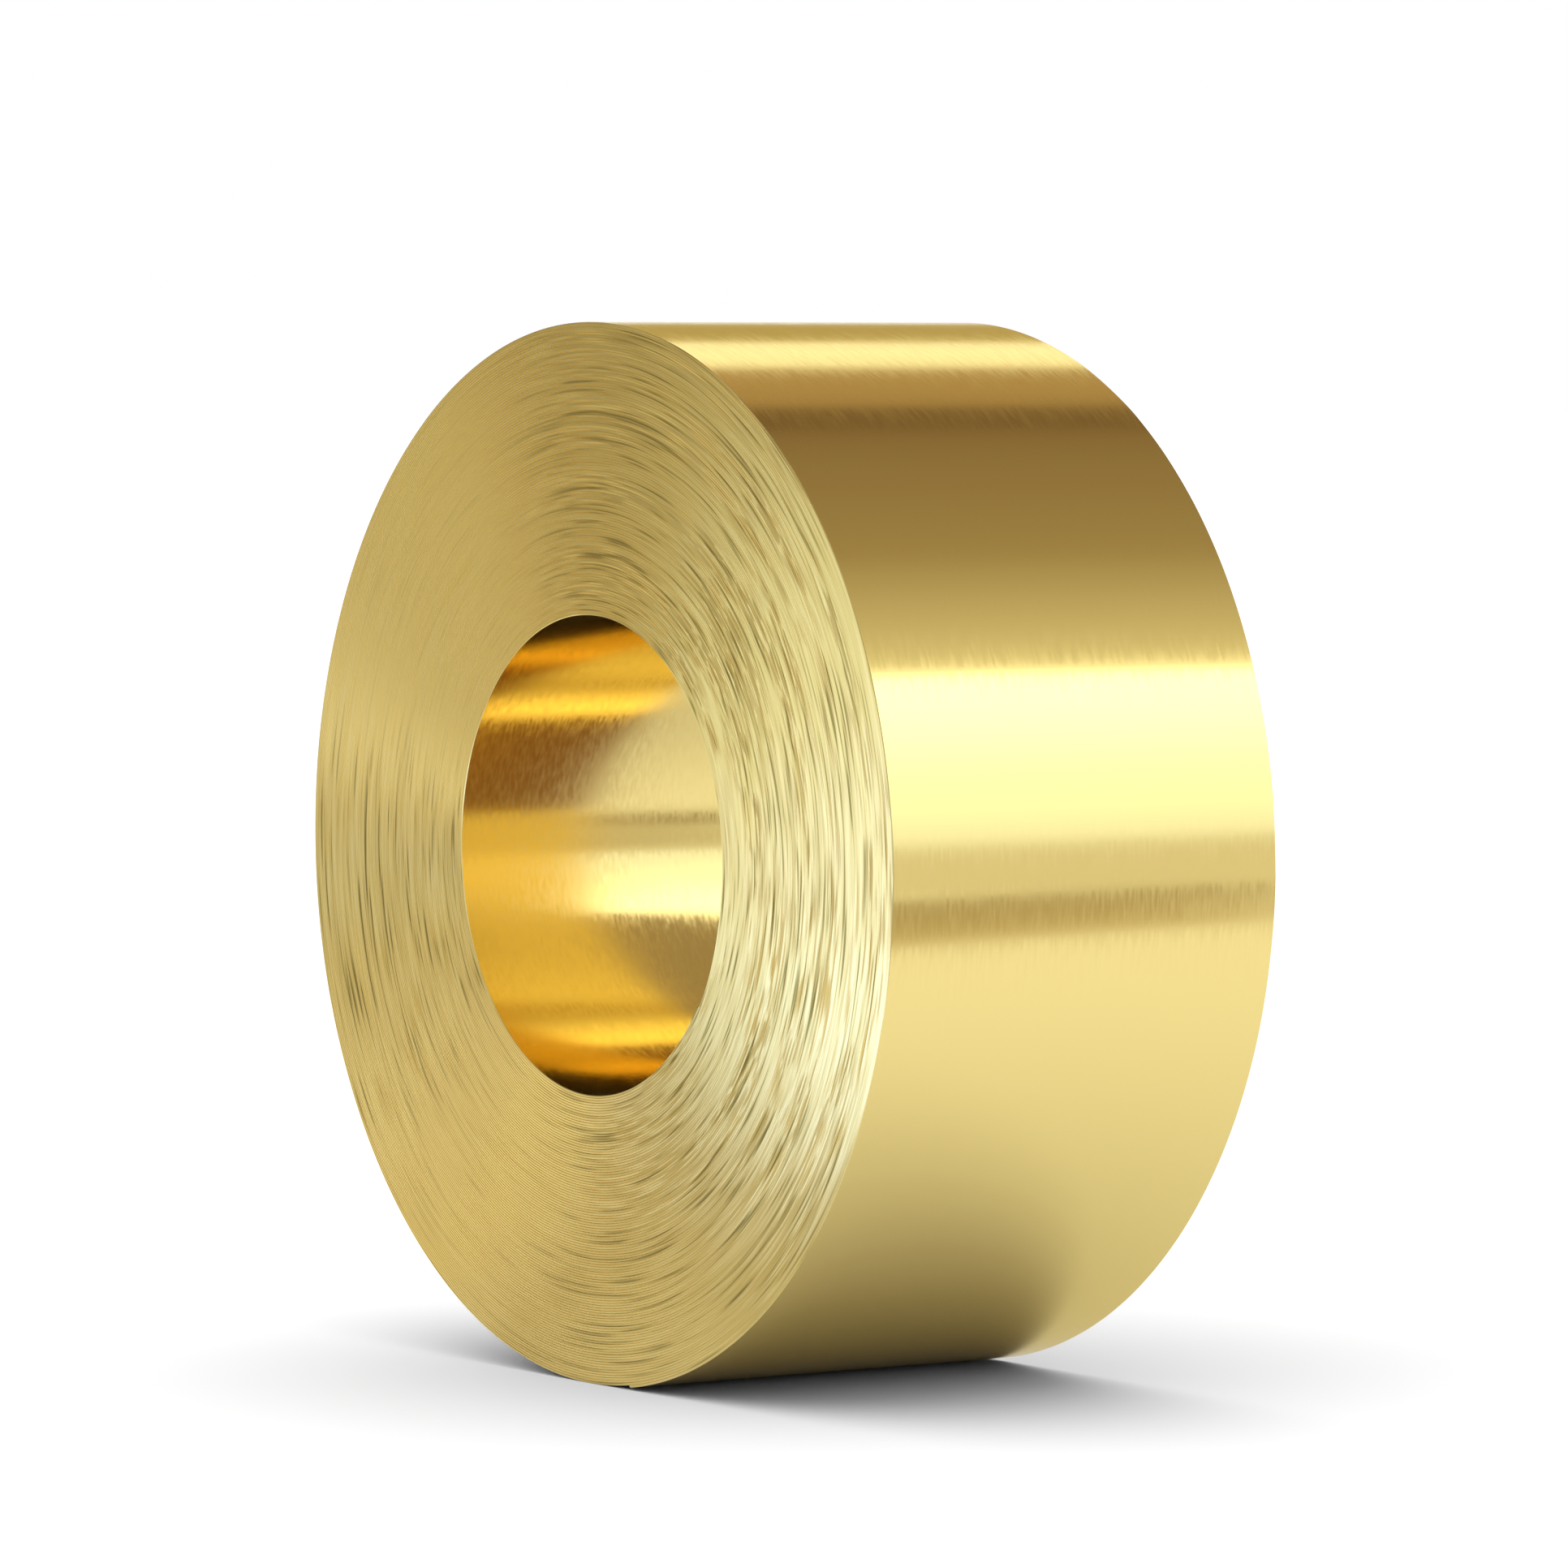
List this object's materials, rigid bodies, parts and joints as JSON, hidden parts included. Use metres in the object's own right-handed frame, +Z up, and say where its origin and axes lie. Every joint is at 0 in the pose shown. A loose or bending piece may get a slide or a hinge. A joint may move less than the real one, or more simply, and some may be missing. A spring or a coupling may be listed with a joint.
{
  "type": "roll of brass strip",
  "caption": "Coreless roll of slit brass strip, wound turn on turn to a thick ring with a plain round bore, standing on its rim.",
  "frame": {"origin": "centre of the bore, at the middle of the strip's width", "axes": "+Y along the roll's axis, away from the end that the picture shows; +Z up, with the rim resting on a floor below"},
  "size_m": [0.332, 0.143, 0.3316],
  "materials": {
    "brass_strip": "cold-rolled bright faces, slit edges matt"
  },
  "bodies": {
    "root": {"strip_roll": "brass_strip"}
  },
  "joints": []
}
